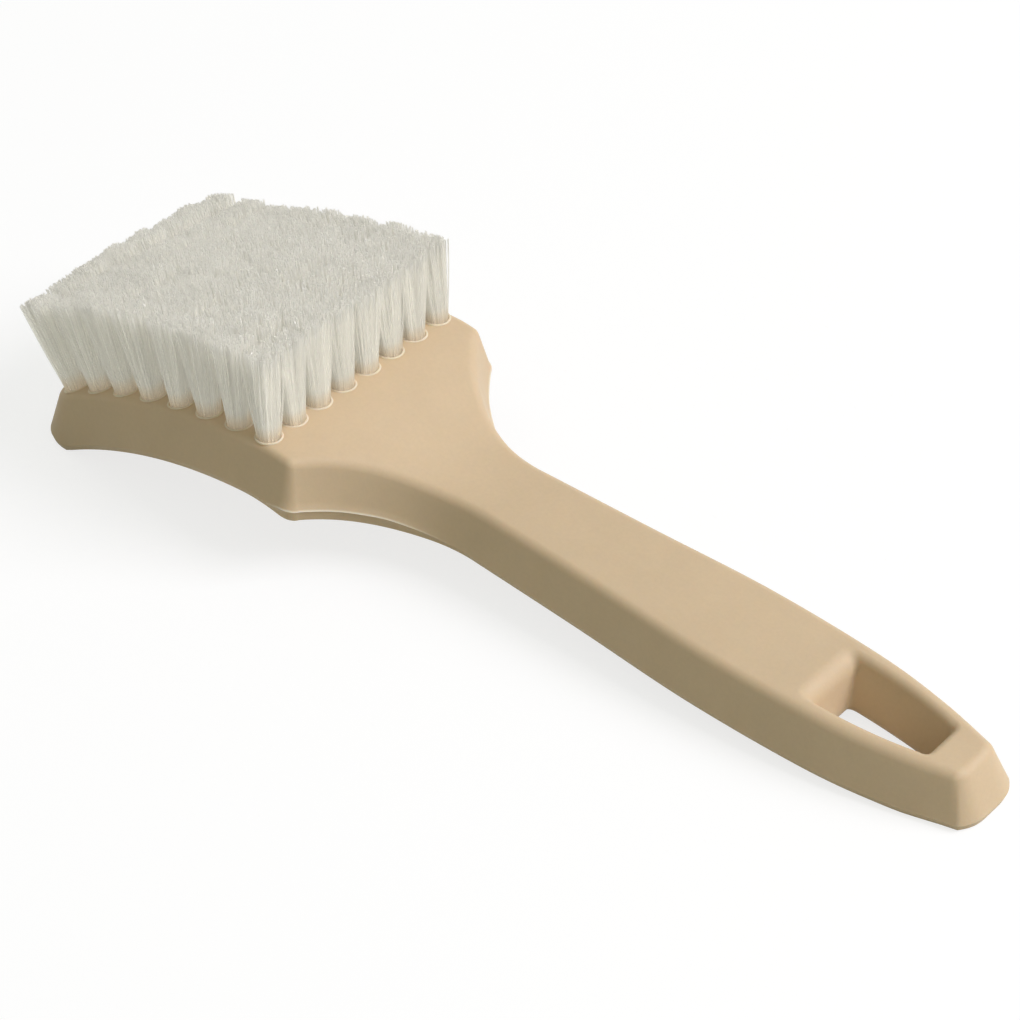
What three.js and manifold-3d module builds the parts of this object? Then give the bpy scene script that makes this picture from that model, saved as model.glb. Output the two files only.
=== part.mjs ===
// Tire brush lying on its back with the bristles up: a one-piece moulded handle block, rows of
// nylon tufts folded over flat wire anchors, and the anchors that pin those rows into the block.
// Millimetres. X runs towards the hanging end of the handle, Y across the head, Z up.
// Lengths along X are counted from the tuft row next to the handle, and the whole brush is then
// moved so that the origin is under the middle of its length, on the surface it lies on.

import * as THREE from "three";
import { mergeGeometries, mergeVertices } from "three/addons/utils/BufferGeometryUtils.js";
import Module from "manifold-3d";

const wasm = await Module();
wasm.setup();

// Tufts and the arched deck they stand on
const ROWS = 8;
const COLUMNS = 8;
const PITCH_ALONG = 9.28;
const PITCH_ACROSS = 8.4;
const TRIM_LENGTH = 22.3;
const DECK_RADIUS = 154.5;
const DECK_CREST_Z = 30.75;
const FIRST_ROW_TILT = 0.0378;
const FIRST_ROW_X = -51.92;

// Strands of one tuft: one in the middle and a ring that opens out towards the tips
const RING_STRANDS = 5;
const STRAND_RADIUS = 0.6;
const STRAND_SIDES = 3;
const RING_AT_ROOT = 1.7;
const RING_AT_TIP = 3.0;
const STRAND_SINK = 0.7;

// Slice of deck that two rows of tufts share, and the folded roots below it
const ROWS_PER_SLICE = 2;
const SLICE_THICKNESS = 1.2;
const SLICE_MARGIN_ACROSS = 3.0;
const SLICE_MARGIN_TOE = 2.7;
const ROOT_RADIUS = 2.3;
const ROOT_SIDES = 6;
const ROOT_DEPTH = 7.6;
const ROOT_OVERLAP = 0.8;
const GAP = 0.3;

// Flat wire anchors, one tooth in the fold of each tuft
const ANCHOR_WIRE = 0.5;
const ANCHOR_WIDTH = 5.6;
const ANCHOR_TOP = 3.0;
const ANCHOR_BOTTOM = 6.0;
const ANCHOR_STRIP = 0.8;

// Plan of the block at the edge of its top face
const TOE_X = -70;
const TOE_CORNER = 8.8;
const HEAD_HALF_WIDTH = 33.9;
const SHOULDER_X = 9;
const SHOULDER_CORNER = 2.4;
const SHOULDER_TURN = THREE.MathUtils.degToRad(58);
const NECK_X = 46;
const NECK_HALF_WIDTH = 11.5;
const FLARE_LEAD = 12.5;
const FLARE_NECK_X = 26.3;
const GRIP_PLAN = [[78, 12.8], [110, 14.4], [140, 13.7], [158, 11.3]];
const TAPER_X = 169.5;
const TAPER_HALF_WIDTH = 8.4;
const END_X = 174.8;
const END_CORNER_Y = 8.6;
const END_FLAT_Y = 3.6;

// Side view of the block: the deck falls through the neck to a sloping grip, over an arched belly
const NECK_FALL_START = 2;
const NECK_FALL_END = 41;
const GRIP_TOP_AT_NECK = 20.7;
const GRIP_TOP_AT_END = 12.5;
const GRIP_BOW = 0.5;
const BELLY_RADIUS = 120;
const BELLY_CREST_X = 0.6;
const BELLY_CREST_Z = 17;
const BELLY_FALL_START = 1.5;
const BELLY_FALL_END = 36;
const REST_FLAT_X = 164;
const GRIP_BELLY_SLOPE = 0.073;

// Rounded edges, and how far the walls spread towards the belly
const HEAD_EDGE = 2.2;
const GRIP_EDGE = 2.8;
const BELLY_EDGE = 1.6;
const SIDE_SPREAD = 2.6;
const HEAD_SPREAD = 2;
const END_SPREAD = 4;

// Hanging hole, narrower and shorter at the belly
const HOLE_TOE_X = 136;
const HOLE_END_X = 164.6;
const HOLE_TOE_HALF = 8.6;
const HOLE_BOW_X = 152;
const HOLE_BOW_HALF = 8.3;
const HOLE_END_HALF = 5.3;
const HOLE_CORNER = 2.6;
const HOLE_RIM = 1.8;
const HOLE_FOOT_WIDTH = 0.61;
const HOLE_FOOT_LENGTH = 0.9;
const HOLE_OVERSHOOT = 2;

const NYLON = { color: 0xd9d5c9, roughness: 0.45, metalness: 0 };
const MOULDED_PLASTIC = { color: 0xd6bf9a, roughness: 0.6, metalness: 0 };
const FLAT_WIRE = { color: 0xb9bcc0, roughness: 0.35, metalness: 1 };

const DECK_CREST_X = DECK_RADIUS * Math.sin(FIRST_ROW_TILT);
const mix = THREE.MathUtils.lerp;
const ease = THREE.MathUtils.smoothstep;

// Closed solid of a geometry, ready to be joined or cut
function solid(geometry) {
  const bare = geometry.index ? geometry.toNonIndexed() : geometry.clone();
  bare.deleteAttribute("normal");
  bare.deleteAttribute("uv");
  const merged = mergeVertices(bare, 1e-4);
  const vertProperties = merged.attributes.position.array;
  const triVerts = new Uint32Array(merged.index.array);
  return new wasm.Manifold(new wasm.Mesh({ numProp: 3, vertProperties, triVerts }));
}

// Geometry of a joined or cut solid
function geometryOf(manifold) {
  const mesh = manifold.getMesh();
  const geometry = new THREE.BufferGeometry();
  geometry.setAttribute("position", new THREE.BufferAttribute(mesh.vertProperties, 3));
  geometry.setIndex(new THREE.BufferAttribute(mesh.triVerts, 1));
  geometry.computeVertexNormals();
  return geometry;
}

function named(name, geometry, finish) {
  const mesh = new THREE.Mesh(geometry, new THREE.MeshStandardMaterial(finish));
  mesh.name = name;
  return mesh;
}

// Heights of the top face and of the belly over X
function topHeight(x) {
  const fromCrest = Math.min(Math.abs(x - DECK_CREST_X), DECK_RADIUS);
  const deck = DECK_CREST_Z - DECK_RADIUS + Math.sqrt(DECK_RADIUS ** 2 - fromCrest ** 2);
  const along = (x - NECK_X) / (END_X - NECK_X);
  const bow = 4 * GRIP_BOW * along * (1 - along);
  const grip = mix(GRIP_TOP_AT_NECK, GRIP_TOP_AT_END, along) + Math.max(bow, 0);
  return mix(deck, grip, ease(x, NECK_FALL_START, NECK_FALL_END));
}

function bellyHeight(x) {
  const fromCrest = Math.min(Math.abs(x - BELLY_CREST_X), BELLY_RADIUS);
  const arch = BELLY_CREST_Z - BELLY_RADIUS + Math.sqrt(BELLY_RADIUS ** 2 - fromCrest ** 2);
  const grip = Math.max(GRIP_BELLY_SLOPE * (REST_FLAT_X - x), 0);
  return mix(Math.max(arch, 0), grip, ease(x, BELLY_FALL_START, BELLY_FALL_END));
}

function edgeRadius(x) {
  return mix(HEAD_EDGE, GRIP_EDGE, ease(x, 0, NECK_X));
}

// Points along the +Y half of a plan, each with its outward normal
function halfPlan(path, divisions) {
  const points = [];
  path.curves.forEach((curve, index) => {
    const steps = divisions[index];
    for (let step = index === 0 ? 0 : 1; step <= steps; step++) {
      const place = curve.getPoint(step / steps);
      const way = curve.getTangent(step / steps);
      points.push({ x: place.x, y: place.y, nx: -way.y, ny: way.x });
    }
  });
  return points;
}

// Plan point moved out along its normal
function moved(point, out) {
  return [point.x + point.nx * out, point.y + point.ny * out];
}

// Solid between level rings of a mirrored plan: each level says where a plan point goes and how
// high it lies there, from the top ring down to the bottom ring
function loft(points, levels) {
  const count = points.length;
  const position = [];
  for (const level of levels) {
    const ring = points.map((point) => {
      const [x, y] = level.at(point);
      return [x, y, level.height(x)];
    });
    ring.forEach(([x, y, z]) => position.push(x, y, z));
    ring.reverse().forEach(([x, y, z]) => position.push(x, -y, z));
  }
  const around = 2 * count;
  const index = [];
  for (let level = 0; level < levels.length - 1; level++) {
    for (let i = 0; i < around; i++) {
      const a = level * around + i;
      const b = level * around + ((i + 1) % around);
      index.push(a, b, b + around, a, b + around, a + around);
    }
  }
  const last = (levels.length - 1) * around;
  for (let i = 0; i < count - 1; i++) {
    const mirror = around - 1 - i;
    index.push(i, mirror, i + 1, mirror, mirror - 1, i + 1);
    index.push(last + i, last + i + 1, last + mirror);
    index.push(last + mirror, last + i + 1, last + mirror - 1);
  }
  const geometry = new THREE.BufferGeometry();
  geometry.setAttribute("position", new THREE.Float32BufferAttribute(position, 3));
  geometry.setIndex(index);
  return solid(geometry);
}

// Frame of a tuft row: X along the deck towards the handle, Z square to the deck
function rowFrame(row) {
  const angle = FIRST_ROW_TILT + (row * PITCH_ALONG) / DECK_RADIUS;
  const along = new THREE.Vector3(Math.cos(angle), 0, Math.sin(angle));
  const across = new THREE.Vector3(0, 1, 0);
  const up = new THREE.Vector3(-Math.sin(angle), 0, Math.cos(angle));
  const x = DECK_CREST_X - DECK_RADIUS * Math.sin(angle);
  const z = DECK_CREST_Z - DECK_RADIUS * (1 - Math.cos(angle));
  return new THREE.Matrix4().makeBasis(along, across, up).setPosition(x, 0, z);
}

const columnY = (column) => (column - (COLUMNS - 1) / 2) * PITCH_ACROSS;
const halfAcross = columnY(COLUMNS - 1) + SLICE_MARGIN_ACROSS;

// Curved plate between two distances along the deck, measured from the first row to the toe,
// with one flat for each row of tufts
function deckPlate(from, to, above, below, halfWidth) {
  const start = Math.PI / 2 + FIRST_ROW_TILT + from / DECK_RADIUS;
  const end = Math.PI / 2 + FIRST_ROW_TILT + to / DECK_RADIUS;
  const shape = new THREE.Shape();
  shape.absarc(0, 0, DECK_RADIUS + above, start, end, false);
  shape.absarc(0, 0, DECK_RADIUS - below, end, start, true);
  const flats = Math.round((to - from) / PITCH_ALONG);
  const curveSegments = flats / 2; // an arc is drawn with twice as many flats as curve segments
  const settings = { depth: 2 * halfWidth, bevelEnabled: false, curveSegments };
  const plate = new THREE.ExtrudeGeometry(shape, settings);
  plate.translate(0, 0, -halfWidth);
  plate.rotateX(Math.PI / 2);
  plate.translate(DECK_CREST_X, 0, DECK_CREST_Z - DECK_RADIUS);
  return solid(plate);
}

// Folded root of one tuft as a short prism under the deck
function rootPrism(growth) {
  const from = SLICE_THICKNESS - ROOT_OVERLAP;
  const depth = ROOT_DEPTH + growth - from;
  const radius = ROOT_RADIUS + growth;
  const prism = new THREE.CylinderGeometry(radius, radius, depth, ROOT_SIDES);
  prism.rotateX(Math.PI / 2);
  prism.translate(0, 0, -from - depth / 2);
  return prism;
}

// Room for one row's anchors and the strip between them
function anchorRoom() {
  const height = ANCHOR_BOTTOM - ANCHOR_TOP + 2 * GAP;
  const length = 2 * (columnY(COLUMNS - 1) + ANCHOR_WIDTH / 2 + GAP);
  const room = new THREE.BoxGeometry(ANCHOR_WIRE + 2 * GAP, length, height);
  room.translate(0, 0, -(ANCHOR_TOP + ANCHOR_BOTTOM) / 2);
  return room;
}

// Same piece under every tuft of some rows
function overTufts(rows, make) {
  const pieces = [];
  for (const row of rows) {
    for (let column = 0; column < COLUMNS; column++) {
      const place = rowFrame(row).multiply(
        new THREE.Matrix4().makeTranslation(0, columnY(column), 0),
      );
      make().forEach((piece) => pieces.push(piece.applyMatrix4(place)));
    }
  }
  return solid(mergeGeometries(pieces));
}

// Same piece once in each of some rows
function overRows(rows, make) {
  return solid(mergeGeometries(rows.map((row) => make().applyMatrix4(rowFrame(row)))));
}

function strandSection() {
  const section = new THREE.Shape();
  for (let side = 0; side < STRAND_SIDES; side++) {
    const angle = (2 * Math.PI * side) / STRAND_SIDES;
    const x = STRAND_RADIUS * Math.cos(angle);
    const y = STRAND_RADIUS * Math.sin(angle);
    if (side === 0) section.moveTo(x, y);
    else section.lineTo(x, y);
  }
  return section;
}

function tuftStrands() {
  const settings = { depth: TRIM_LENGTH + STRAND_SINK, bevelEnabled: false };
  const straight = new THREE.ExtrudeGeometry(strandSection(), settings);
  straight.translate(0, 0, -STRAND_SINK);
  const splay = Math.atan((RING_AT_TIP - RING_AT_ROOT) / TRIM_LENGTH);
  const strands = [straight.clone()];
  for (let strand = 0; strand < RING_STRANDS; strand++) {
    const leaning = straight.clone();
    leaning.rotateY(splay);
    leaning.translate(RING_AT_ROOT, 0, 0);
    leaning.rotateZ((2 * Math.PI * strand) / RING_STRANDS);
    strands.push(leaning);
  }
  return strands;
}

// Two rows of tufts on their slice of the deck, with the roots folded round the anchors
function bristleSlice(slice) {
  const first = slice * ROWS_PER_SLICE;
  const rows = Array.from({ length: ROWS_PER_SLICE }, (_, i) => first + i);
  const lastRow = rows[rows.length - 1];
  const toeSlice = lastRow === ROWS - 1;
  const from = (first - 0.5) * PITCH_ALONG + GAP / 2;
  const halfPitch = toeSlice ? SLICE_MARGIN_TOE : PITCH_ALONG / 2 - GAP / 2;
  const to = lastRow * PITCH_ALONG + halfPitch;
  const plate = deckPlate(from, to, 0, SLICE_THICKNESS, halfAcross);
  const roots = overTufts(rows, () => [rootPrism(0)]).subtract(overRows(rows, anchorRoom));
  return plate.add(roots).add(overTufts(rows, tuftStrands));
}

// Flat wire anchors of one row, joined along their lower edge
function anchorRow(row) {
  const comb = new THREE.Shape();
  const reach = columnY(COLUMNS - 1) + ANCHOR_WIDTH / 2;
  comb.moveTo(-reach, -ANCHOR_BOTTOM);
  for (let column = 0; column < COLUMNS; column++) {
    const left = columnY(column) - ANCHOR_WIDTH / 2;
    const right = columnY(column) + ANCHOR_WIDTH / 2;
    if (column > 0) comb.lineTo(left, ANCHOR_STRIP - ANCHOR_BOTTOM);
    comb.lineTo(left, -ANCHOR_TOP);
    comb.lineTo(right, -ANCHOR_TOP);
    if (column < COLUMNS - 1) comb.lineTo(right, ANCHOR_STRIP - ANCHOR_BOTTOM);
  }
  comb.lineTo(reach, -ANCHOR_BOTTOM);
  const wire = new THREE.ExtrudeGeometry(comb, { depth: ANCHOR_WIRE, bevelEnabled: false });
  wire.translate(0, 0, -ANCHOR_WIRE / 2);
  wire.rotateX(Math.PI / 2);
  wire.rotateZ(Math.PI / 2);
  return solid(wire.applyMatrix4(rowFrame(row)));
}

function blockPlan() {
  const side = HEAD_HALF_WIDTH;
  const plan = new THREE.Path();
  plan.moveTo(TOE_X, side - TOE_CORNER);
  plan.absarc(TOE_X + TOE_CORNER, side - TOE_CORNER, TOE_CORNER, Math.PI, Math.PI / 2, true);
  plan.lineTo(SHOULDER_X, side);
  const turned = Math.PI / 2 - SHOULDER_TURN;
  plan.absarc(SHOULDER_X, side - SHOULDER_CORNER, SHOULDER_CORNER, Math.PI / 2, turned, true);
  const corner = plan.currentPoint.clone();
  const leadX = corner.x + FLARE_LEAD * Math.sin(turned);
  const leadY = corner.y - FLARE_LEAD * Math.cos(turned);
  plan.bezierCurveTo(leadX, leadY, FLARE_NECK_X, NECK_HALF_WIDTH, NECK_X, NECK_HALF_WIDTH);
  const grip = [...GRIP_PLAN, [TAPER_X, TAPER_HALF_WIDTH]];
  plan.splineThru(grip.map(([x, y]) => new THREE.Vector2(x, y)));
  plan.quadraticCurveTo(END_X, END_CORNER_Y, END_X, END_FLAT_Y);
  return halfPlan(plan, [5, 13, 4, 9, 16, 4]);
}

function handleShell() {
  const endSpread = (x) => (x < NECK_X ? HEAD_SPREAD : END_SPREAD);
  const spread = ({ x, nx }) => mix(SIDE_SPREAD, endSpread(x), nx ** 4);
  const levels = [0, 30, 60, 90].map((degrees) => {
    const angle = THREE.MathUtils.degToRad(degrees);
    return {
      at: (point) => moved(point, -edgeRadius(point.x) * (1 - Math.sin(angle))),
      height: (x) => topHeight(x) - edgeRadius(x) * (1 - Math.cos(angle)),
    };
  });
  for (const degrees of [0, 45, 90]) {
    const angle = THREE.MathUtils.degToRad(degrees);
    levels.push({
      at: (point) => moved(point, spread(point) - BELLY_EDGE * (1 - Math.cos(angle))),
      height: (x) => bellyHeight(x) + BELLY_EDGE * (1 - Math.sin(angle)),
    });
  }
  return loft(blockPlan(), levels);
}

function hangingHole() {
  const toeX = HOLE_TOE_X;
  const endX = HOLE_END_X;
  const plan = new THREE.Path();
  plan.moveTo(toeX, HOLE_TOE_HALF - HOLE_CORNER);
  plan.quadraticCurveTo(toeX, HOLE_TOE_HALF, toeX + HOLE_CORNER, HOLE_TOE_HALF);
  plan.quadraticCurveTo(HOLE_BOW_X, HOLE_BOW_HALF, endX - HOLE_CORNER, HOLE_END_HALF);
  plan.quadraticCurveTo(endX, HOLE_END_HALF, endX, HOLE_END_HALF - HOLE_CORNER);
  const mouth = (flare) => (point) => moved(point, HOLE_RIM * flare);
  const foot = (flare) => (point) => {
    const [x, y] = mouth(flare)(point);
    return [mix(endX, x, HOLE_FOOT_LENGTH), y * HOLE_FOOT_WIDTH];
  };
  return loft(halfPlan(plan, [4, 6, 4]), [
    { at: mouth(1), height: (x) => topHeight(x) + HOLE_OVERSHOOT },
    { at: mouth(1), height: (x) => topHeight(x) },
    { at: mouth(0.3), height: (x) => topHeight(x) - HOLE_RIM * 0.4 },
    { at: mouth(0), height: (x) => topHeight(x) - HOLE_RIM },
    { at: foot(0), height: (x) => bellyHeight(x) + HOLE_RIM },
    { at: foot(0.3), height: (x) => bellyHeight(x) + HOLE_RIM * 0.4 },
    { at: foot(1), height: (x) => bellyHeight(x) },
    { at: foot(1), height: (x) => bellyHeight(x) - HOLE_OVERSHOOT },
  ]);
}

// Moulded block with a shallow seat for the bristle slices and a blind hole for each root
function handleBlock() {
  const rows = Array.from({ length: ROWS }, (_, row) => row);
  const from = -0.5 * PITCH_ALONG - GAP / 2;
  const to = (ROWS - 1) * PITCH_ALONG + SLICE_MARGIN_TOE + GAP;
  const seat = deckPlate(from, to, TRIM_LENGTH, SLICE_THICKNESS + GAP, halfAcross + GAP);
  return handleShell()
    .subtract(hangingHole())
    .subtract(seat)
    .subtract(overTufts(rows, () => [rootPrism(GAP)]))
    .subtract(overRows(rows, anchorRoom));
}

const brush = new THREE.Group();
const fromFirstRow = new THREE.Group();
fromFirstRow.position.x = FIRST_ROW_X;
brush.add(fromFirstRow);

fromFirstRow.add(named("handle_block", geometryOf(handleBlock()), MOULDED_PLASTIC));
for (let slice = 0; slice < ROWS / ROWS_PER_SLICE; slice++) {
  const first = slice * ROWS_PER_SLICE + 1;
  const name = `bristles_rows_${first}_${first + ROWS_PER_SLICE - 1}`;
  fromFirstRow.add(named(name, geometryOf(bristleSlice(slice)), NYLON));
}
for (let row = 0; row < ROWS; row++) {
  fromFirstRow.add(named(`anchors_row_${row + 1}`, geometryOf(anchorRow(row)), FLAT_WIRE));
}

export default brush;
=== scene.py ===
"""Looks of a hand tire brush that lies on its back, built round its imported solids.

Metres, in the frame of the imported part: X to the hanging end of the handle, Y across the head,
Z up. Lengths along X are counted from the tuft row next to the handle, and moved into that frame
where a ring or a row is placed.
"""

import math

import bpy
import numpy as np
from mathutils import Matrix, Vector


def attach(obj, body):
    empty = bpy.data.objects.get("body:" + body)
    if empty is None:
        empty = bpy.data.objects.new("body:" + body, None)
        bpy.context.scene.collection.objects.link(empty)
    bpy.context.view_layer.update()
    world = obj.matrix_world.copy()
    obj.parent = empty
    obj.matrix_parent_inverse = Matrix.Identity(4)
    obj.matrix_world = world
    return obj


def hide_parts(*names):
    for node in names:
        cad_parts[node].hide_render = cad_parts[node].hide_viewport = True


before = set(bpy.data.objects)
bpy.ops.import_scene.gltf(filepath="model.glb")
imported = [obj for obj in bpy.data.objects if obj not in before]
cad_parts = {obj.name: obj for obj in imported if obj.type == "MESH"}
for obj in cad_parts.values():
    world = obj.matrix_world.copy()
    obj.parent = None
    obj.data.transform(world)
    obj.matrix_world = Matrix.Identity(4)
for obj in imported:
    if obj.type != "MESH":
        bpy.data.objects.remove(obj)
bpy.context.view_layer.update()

MM = 0.001
SEED = 64

# Camera at the photograph's viewing angle
CAMERA_AZIMUTH = math.radians(39.4)
CAMERA_ELEVATION = math.radians(39.06)
CAMERA_DISTANCE = 0.84
CAMERA_AIM = Vector((-11.8, 7.7, 6.6)) * MM
CAMERA_LENS = 128.2
SENSOR_WIDTH = 36

# Tufts and the arched deck they stand on
ROWS = 8
COLUMNS = 8
ROWS_PER_NODE = 2
PITCH_ALONG = 9.28 * MM
PITCH_ACROSS = 8.4 * MM
TRIM_LENGTH = 22.3 * MM
DECK_RADIUS = 154.5 * MM
DECK_CREST_Z = 30.75 * MM
FIRST_ROW_TILT = 0.0378
FIRST_ROW_X = -51.92 * MM
DECK_CREST_X = DECK_RADIUS * math.sin(FIRST_ROW_TILT)

# Plan of the block at the edge of its top face
TOE_X = -69.9 * MM
TOE_CORNER = 8.7 * MM
HEAD_HALF_WIDTH = 33.7 * MM
SHOULDER_X = 8.3 * MM
SHOULDER_CORNER = 2.7 * MM
SHOULDER_TURN = math.radians(58)
NECK_X = 46 * MM
NECK_HALF_WIDTH = 11.5 * MM
FLARE_LEAD = 12.5 * MM
FLARE_NECK_X = 28 * MM
GRIP_PLAN = np.array([[78, 12.8], [110, 14.45], [140, 13.75], [158, 11.3], [172.4, 7.75]]) * MM
END_CORNER = np.array([[174.2, 7.3], [174.9, 5.3]]) * MM
END_X = 175.3 * MM
END_BOW_Y = 4.2 * MM
END_FLAT_Y = 2 * MM

# Side view of the block
NECK_FALL = (2 * MM, 41 * MM)
GRIP_TOP_AT_NECK = 20.7 * MM
GRIP_TOP_AT_END = 12.3 * MM
GRIP_BOW = 0.5 * MM
BELLY_RADIUS = 126 * MM
BELLY_CREST_X = 2.5 * MM
BELLY_CREST_Z = 17.15 * MM
BELLY_FALL = (-4 * MM, 36 * MM)
REST_FLAT_X = 164 * MM
GRIP_BELLY_SLOPE = 0.073

# Rounded edges, the spread of the walls, and the flash where the two halves of the mould met
HEAD_EDGE = 2.2 * MM
GRIP_EDGE = 2.8 * MM
BELLY_EDGE = 0.8 * MM
SIDE_SPREAD = 2.8 * MM
HEAD_SPREAD = 2 * MM
END_SPREAD = 4 * MM
END_SPREAD_POWER = 4
END_SHARPNESS = 0.6
END_SHARP_RUN = (160 * MM, 172 * MM)
PARTING_HEIGHT = (1.8 * MM, 3.4 * MM)
PARTING_INSET = 0.35 * MM
FLASH_WIDTH = 0.4 * MM
FLASH_PROUD = (0.03 * MM, 0.38 * MM)
FLASH_RISE = (4 * MM, 10 * MM)
FLASH_FADE = (22 * MM, 42 * MM)
FLASH_WAVES = (2.1 * MM, 3.4 * MM)
FLASH_UNEVENNESS = 0.25
FLASH_UNDERCUT = 0.3

# Hanging hole, narrower and shorter at the belly
HOLE_TOE_X = 137.2 * MM
HOLE_END_X = 164.6 * MM
HOLE_TOE_HALF = 8.6 * MM
HOLE_BOW_X = 152 * MM
HOLE_BOW_HALF = 8.3 * MM
HOLE_END_HALF = 5.3 * MM
HOLE_CORNER = 1.5 * MM
HOLE_RIM = 2.2 * MM
HOLE_TOE_RIM = 4.6 * MM
HOLE_FOOT_RIM = 2.3 * MM
HOLE_FOOT_WIDTH = 0.61
HOLE_FOOT_LENGTH = 0.965
HOLE_LIFT = 0.03 * MM
HOLE_OVERSHOOT = 2 * MM

# Sockets of the tufts, the lips pushed up round them, and the slots that the anchors bite into
SOCKET_RADIUS = 2.86 * MM
SOCKET_DEPTH = 7.9 * MM
SOCKET_CLEAR = 2 * MM
LIP_RADIUS = 3.05 * MM
LIP_HALF_WIDTH = 0.32 * MM
LIP_HEIGHT = (0.12 * MM, 0.26 * MM)
LIP_UNEVENNESS = 0.3
# How pale the lips are painted: partly strained plastic, partly a painted highlight
LIP_STRAIN_AND_HIGHLIGHT = 0.6
SLOT_WIDTH = 1.1 * MM
SLOT_REACH = 32.5 * MM
SLOT_DEPTHS = (2.7 * MM, 6.3 * MM)

# Nylon strands of one tuft
STRANDS = 170
STRAND_RADIUS = 0.2 * MM
STRAND_SIDES = 5
STRAND_STEPS = 5
STRAND_SINK = 2.6 * MM
BUNDLE_RADIUS = 2.56 * MM
CELL_ALONG = 5.2 * MM
CELL_ACROSS = 4.8 * MM
CELL_SQUARENESS = 0.8
TOE_REACH = 3.9 * MM
HANDLE_REACH = 2.5 * MM
NEAR_REACH = 3.2 * MM
FAR_REACH = 2.4 * MM
TRIM_FALL = 0.6 * MM
FALL_SKEW = 0.8
TRIM_HOLLOW = 2.6 * MM
HOLLOW_SKEW = 0.8
TOE_CROWN = 1.2 * MM
TOE_CROWN_POWER = 4
SPLAY_POWER = 0.9
TUFT_LEAN = 0.4 * MM
CLUMPS = 7
CLUMP_LEAN = 0.2 * MM
CLUMP_PULL = 0.12
STRAND_LEAN = 0.35 * MM
STRAND_STRAY = 0.6 * MM
STRAND_BOW = 0.2 * MM
TUFT_TRIM = 0.3 * MM
CLUMP_TRIM = 0.2 * MM
STRAND_TRIM = 0.1 * MM
TUFT_CROWN = 0.5 * MM
CUT_SLANT = 0.42
GOLDEN_ANGLE = math.pi * (3 - math.sqrt(5))

# Light in the nylon: the shares that a strand lets through, scatters on and keeps out of its
# shadow, and a painted glow that stands in for light scattered many times between the strands
NYLON_CLEAR = 0.8
NYLON_THROUGH = 0.25
NYLON_SHADOW = 0.83
NYLON_PAINTED_GLOW = 0.116

# Mesh divisions
TOE_STEPS = 12
HEAD_STEPS = 36
SHOULDER_STEPS = 12
FLARE_STEPS = 34
GRIP_STEPS = 14
END_CORNER_STEPS = 10
END_STEPS = 8
HOLE_CORNER_STEPS = 8
HOLE_BOW_STEPS = 20
EDGE_STEPS = 8
WALL_STEPS = 5
DECK_COLUMNS = 26
HOLE_COLUMNS = 8
ROUND_STEPS = 36
LIP_STEPS = 10
SHARP_ANGLE = math.radians(38)

# Map of the strands for a bake, one cell a strand
MAP_NAME = "OFBake"
MAP_COLUMNS = 40
MAP_FILL = 0.9
MAP_TIP = 0.8
MAP_DISC = (1 - MAP_TIP) / 3
MAP_DISC_PLACES = (0.3, 0.7)

# Noise of the drift in tone, and of the fine grain and the coarse waves in it
DRIFT_NOISE = {"Detail": 4.0, "Roughness": 0.6}
NOISE_MIDDLE = 0.5
FINE_NOISE = {"Detail": 3.0, "Roughness": 0.55}
COARSE_NOISE = {"Detail": 2.0}
COARSE_SCALE = 0.06

# Tan foamed plastic of the block
TAN = (0.68, 0.525, 0.345, 1)
# Pale tan of the flash and the lips: partly strained plastic, partly a painted highlight
STRAIN_AND_HIGHLIGHT_TAN = (0.9, 0.82, 0.68, 1)
TAN_CLOUDS = {"Scale": 70.0, "Amount": 0.12}
TAN_SPECKLES = {"Scale": 1100.0, "Amount": 0.10}
TAN_GRAIN = {"Scale": 2200.0, "Waves": 1.5}
TAN_GRAIN_DEPTH = {"Strength": 0.22, "Distance": 0.06 * MM}
TAN_ROUGHNESS = {"From_Min": 0.6, "From_Max": 1.9, "To_Min": 0.42, "To_Max": 0.62}
TAN_GLOSS = {"IOR": 1.49, "Specular_IOR_Level": 0.35}
TAN_INNER_LIGHT = {
    "Subsurface_Weight": 0.3,
    "Subsurface_Radius": (1, 0.6, 0.3),
    "Subsurface_Scale": 2.5 * MM,
}

# Nylon of the strands, with some glossy cuts; warmer and darker at the root by painted shade
# and a painted reflection of the tan block
NYLON_SHADED_ROOT_STOPS = ((0.1, (0.79, 0.72, 0.6, 1)), (0.26, (0.82, 0.81, 0.76, 1)))
NYLON_TONES = {"To_Min": 0.97, "To_Max": 1.03}
NYLON_DRIFT = {"Scale": 90.0, "Amount": 0.05}
NYLON_ROUGHNESS = {"To_Min": 0.4, "To_Max": 0.6}
NYLON_IOR = 1.53
GLOSSY_TONES = {"From_Min": 0.68, "From_Max": 0.72}
CUT_START = 0.98
CUT_GLOSS = {"Coat_Roughness": 0.04, "Coat_IOR": 1.8}

# Drawn steel of the anchors
STEEL = (0.62, 0.63, 0.64, 1)
STEEL_DRIFT = {"Scale": 400.0, "Amount": 0.2}
STEEL_GRAIN = {"Scale": 3000.0, "Waves": 0.5}
STEEL_GRAIN_DEPTH = {"Strength": 0.3, "Distance": 0.03 * MM}
STEEL_ROUGHNESS = {"From_Min": 0.4, "From_Max": 1.2, "To_Min": 0.28, "To_Max": 0.45}

# Light and floor
WHITE = (1, 1, 1, 1)
AMBIENT = {"Color": (0.96, 1, 0.86, 1), "Strength": 0.345}
FLOOR_BOUNCE = (0.6, 0.6, 0.54, 1)
FLOOR_SHADE = (0.28, 0.28, 0.28, 1)
FLOOR_GLOW = 0.76
FLOOR_REACH = 4.0
KEY_PLACE = (1.74, 1.14, 2.0)
KEY_SIZE = 1.7
KEY_POWER = 68.0
KEY_COLOUR = (1, 0.97, 1.03)


def mix(a, b, share):
    return a + (b - a) * share


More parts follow.
